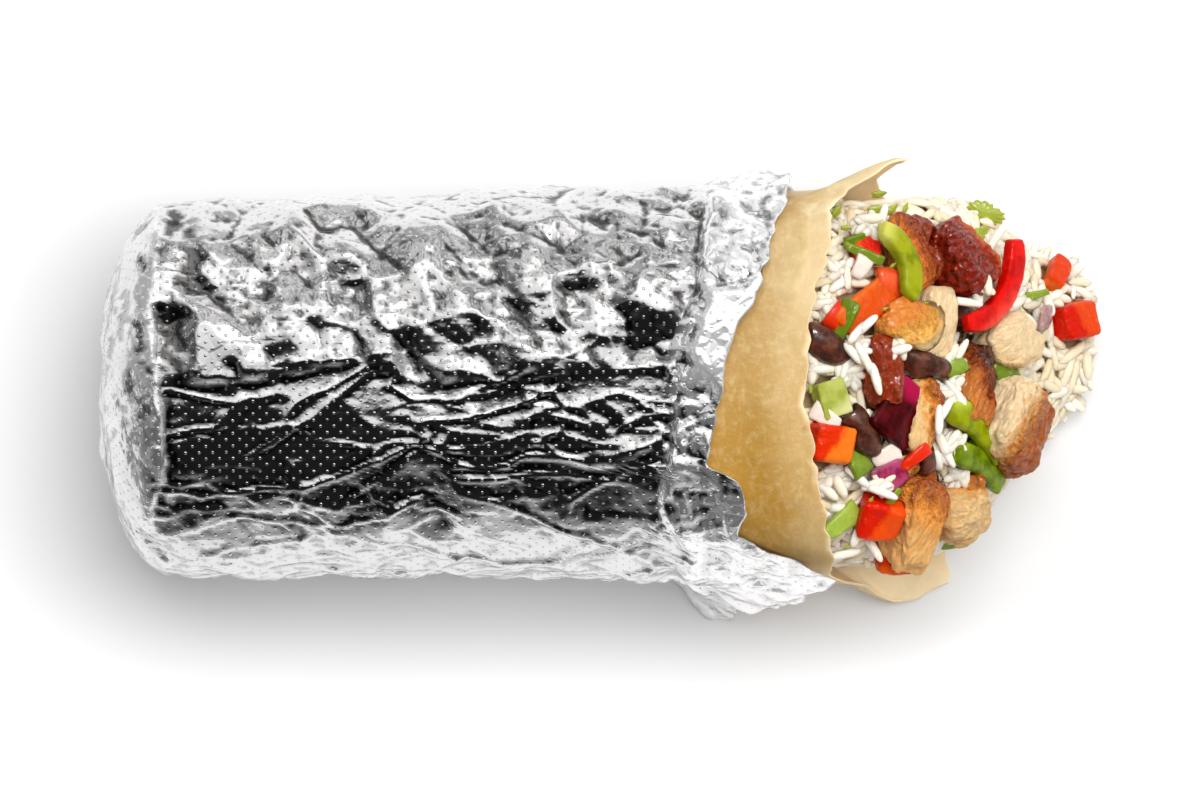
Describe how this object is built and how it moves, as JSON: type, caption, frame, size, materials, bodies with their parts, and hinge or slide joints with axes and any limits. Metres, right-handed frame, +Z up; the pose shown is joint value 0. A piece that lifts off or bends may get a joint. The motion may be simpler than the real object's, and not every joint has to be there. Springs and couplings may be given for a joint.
{
  "type": "burrito",
  "caption": "Burrito on its side in embossed foil, torn open at its end, with rice, chicken pieces, beans, peppers, onion and tomato spilling out.",
  "frame": {"origin": "centre of the bounding box's underside, on the surface that the burrito lies on", "axes": "+X along the roll, from the folded end to the torn open end; +Y to the back; +Z up, the shortest extent"},
  "size_m": [0.2255, 0.1003, 0.0651],
  "materials": {
    "foil": "bright crumpled foil, embossed with small dots",
    "tortilla": "matt, soft and slightly mottled",
    "rice": "moist satin",
    "chicken": "moist, browned and seared in places",
    "bean": "smooth and glossy",
    "tomato": "wet",
    "pepper_green": "wet",
    "pepper_red": "wet and glossy",
    "onion": "glossy"
  },
  "bodies": {
    "root": {"bean_front": "bean", "bean_left": "bean", "bean_low_front": "bean", "bean_middle": "bean", "bean_right": "bean", "bean_under_pepper": "bean", "bean_under_strip": "bean", "chicken_centre": "chicken", "chicken_crumb": "chicken", "chicken_dark": "chicken", "chicken_fibrous": "chicken", "chicken_front": "chicken", "chicken_golden": "chicken", "chicken_left": "chicken", "chicken_orange": "chicken", "chicken_pale_back": "chicken", "chicken_round": "chicken", "chicken_seared": "chicken", "chicken_tan": "chicken", "foil_wrap": "foil", "onion_dice": "onion", "onion_petal": "onion", "pepper_hook": "pepper_green", "pepper_pale": "pepper_green", "pepper_red": "pepper_red", "pepper_rind": "pepper_green", "pepper_slice": "pepper_green", "rice_filling": "rice", "tomato_back": "tomato", "tomato_front": "tomato", "tomato_left": "tomato", "tomato_low": "tomato", "tomato_skin": "tomato", "tomato_spilled": "tomato", "tomato_wedge": "tomato", "tortilla": "tortilla"}
  },
  "joints": []
}
